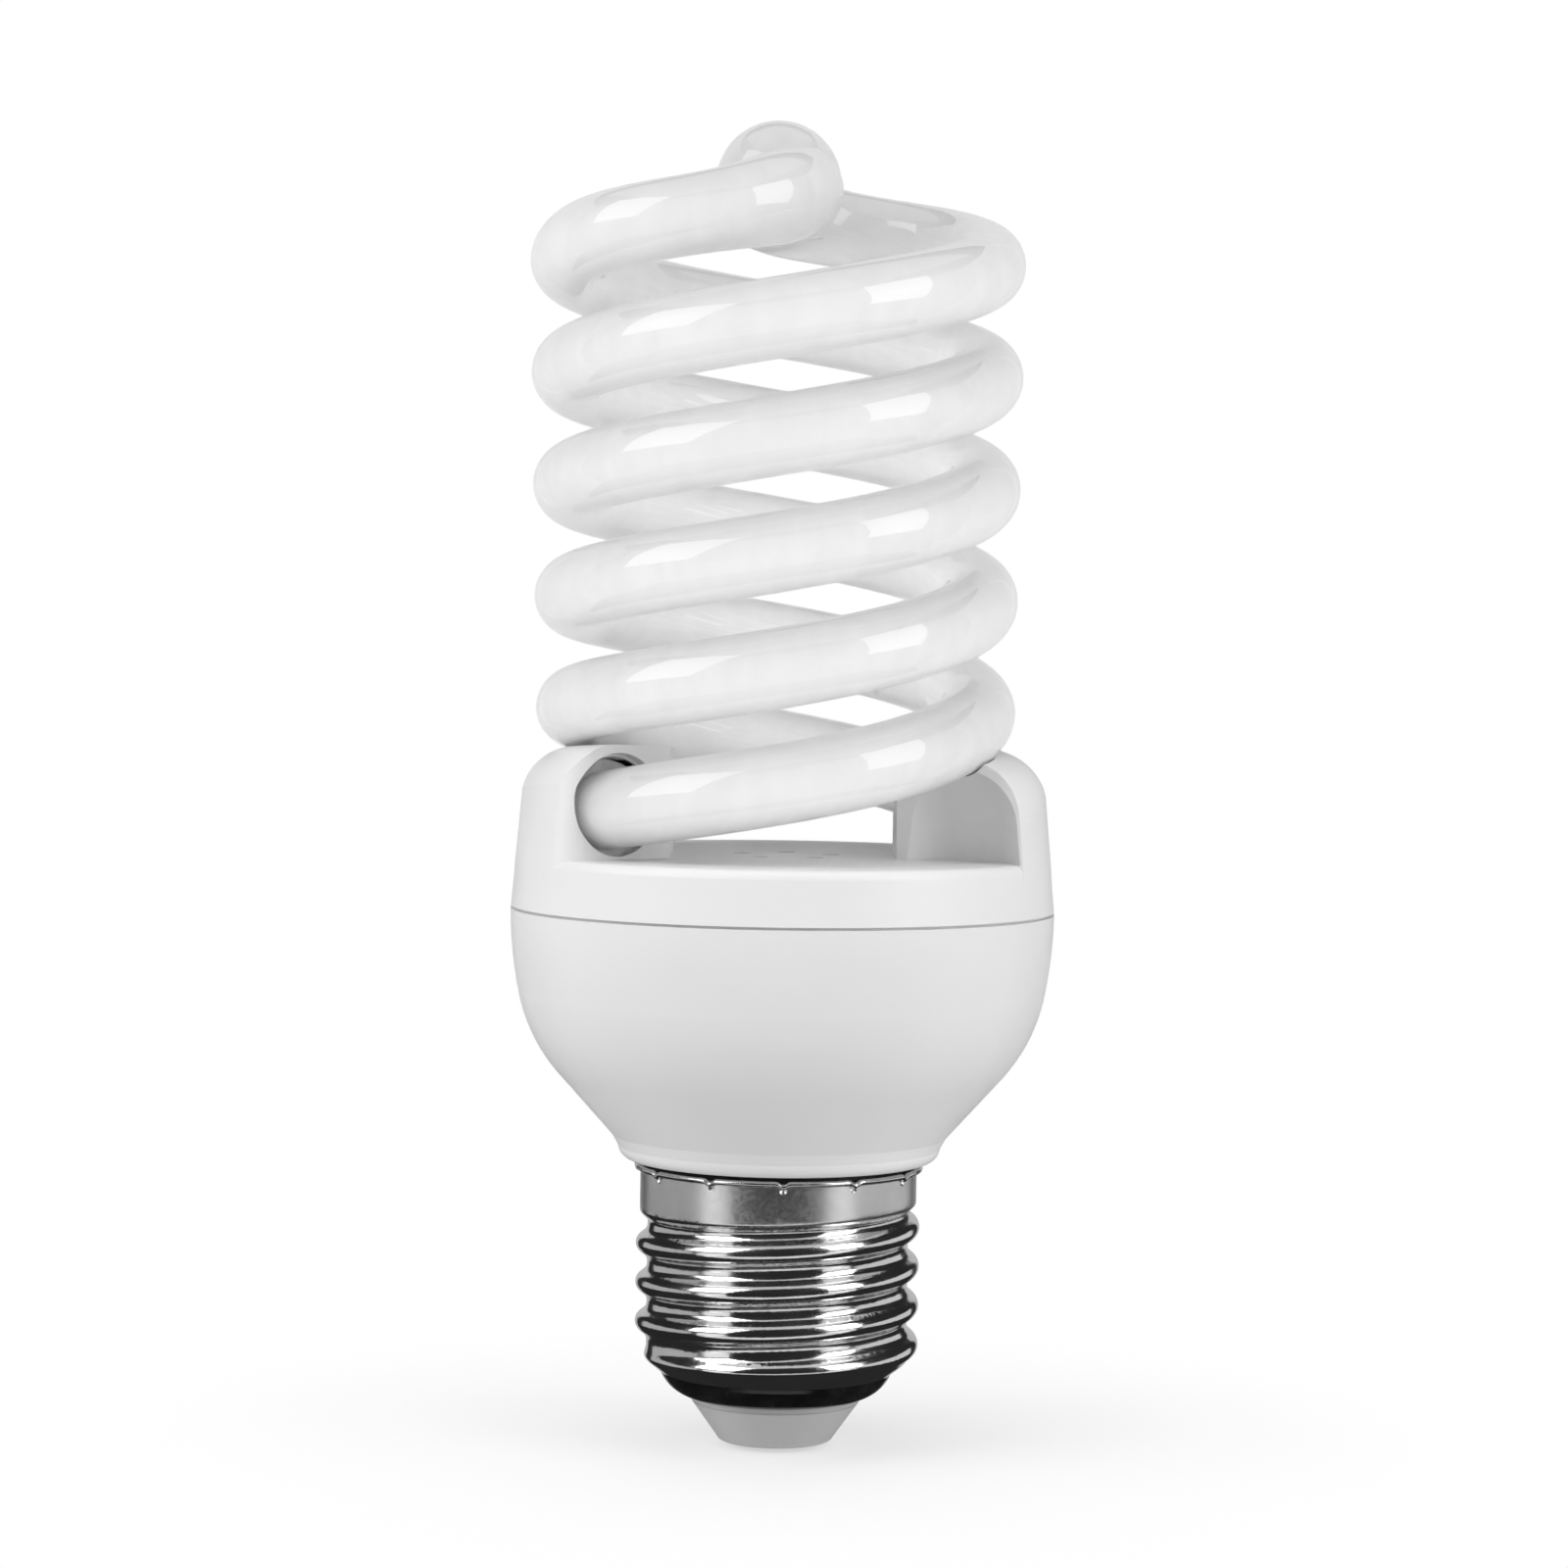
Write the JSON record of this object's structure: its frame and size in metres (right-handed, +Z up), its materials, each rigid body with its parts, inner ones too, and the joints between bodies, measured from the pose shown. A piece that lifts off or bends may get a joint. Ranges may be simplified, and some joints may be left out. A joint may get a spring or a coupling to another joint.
{
  "type": "spiral energy saving bulb",
  "caption": "Compact fluorescent lamp: white double-spiral glass tube in a moulded cover and bowl-shaped ballast housing, with a large screw cap.",
  "frame": {"origin": "middle of the contact face at the bottom of the screw cap", "axes": "+Z up the lamp axis from the cap to the top of the spiral; +X is toward the tower on the right in the picture; the picture looks along +Y"},
  "size_m": [0.05, 0.05, 0.1214],
  "materials": {
    "coated_glass": "clear glass over a dense white powder coating, glossy and opaque",
    "cover_plastic": "moulded white plastic, satin",
    "housing_plastic": "moulded white plastic, satin",
    "cap_metal": "rolled sheet with bright nickel plating, fine scuffs",
    "black_insulator": "black, glossy",
    "grey_insulator": "light grey, matt",
    "contact_metal": "tinned, slightly dull",
    "capacitor_sleeve": "black shrink sleeve",
    "ferrite": "sintered ferrite, matt dark grey",
    "bobbin_plastic": "black moulded plastic",
    "winding_tape": "yellow insulating tape over copper wire",
    "green_ferrite": "lacquered ferrite, satin green",
    "winding_wire": "red insulated wire",
    "transistor_case": "black moulded resin",
    "transistor_case_low": "black moulded resin",
    "film_dip": "brown-red dipped resin",
    "film_dip_green": "green dipped resin",
    "inductor_sleeve": "black sleeve over a wound drum",
    "thermistor_lacquer": "ochre lacquer",
    "diode_resin": "black moulded resin",
    "resistor_lacquer": "beige lacquer",
    "trigger_glass": "blue lacquered glass bead",
    "fusible_lacquer": "grey-green lacquer",
    "pin_metal": "tinned square pins",
    "board_laminate": "paper laminate, tan",
    "solder": "solder, bright",
    "lead_wire": "plated drawn wire",
    "live_sleeve": "red sleeve",
    "neutral_sleeve": "blue sleeve",
    "cement": "set white cement, matt"
  },
  "bodies": {
    "root": {"spiral_glass_tube": "coated_glass", "tube_cover": "cover_plastic", "ballast_housing": "housing_plastic", "screw_shell": "cap_metal", "insulator_ring": "black_insulator", "insulator_nose": "grey_insulator", "centre_contact": "contact_metal", "electrolytic_capacitor": "capacitor_sleeve", "choke_core": "ferrite", "choke_bobbin": "bobbin_plastic", "choke_winding": "winding_tape", "toroid_core": "green_ferrite", "toroid_windings": "winding_wire", "transistor_high_side": "transistor_case", "transistor_low_side": "transistor_case_low", "starting_capacitor": "film_dip", "blocking_capacitor": "film_dip_green", "filter_inductor": "inductor_sleeve", "thermistor": "thermistor_lacquer", "rectifier_diodes": "diode_resin", "resistors": "resistor_lacquer", "trigger_diode": "trigger_glass", "fusible_resistor": "fusible_lacquer", "wire_wrap_pins": "pin_metal", "circuit_board": "board_laminate", "solder_joints": "solder", "tube_lead_wires": "lead_wire", "live_lead": "live_sleeve", "neutral_lead": "neutral_sleeve", "tube_cement": "cement"}
  },
  "joints": []
}
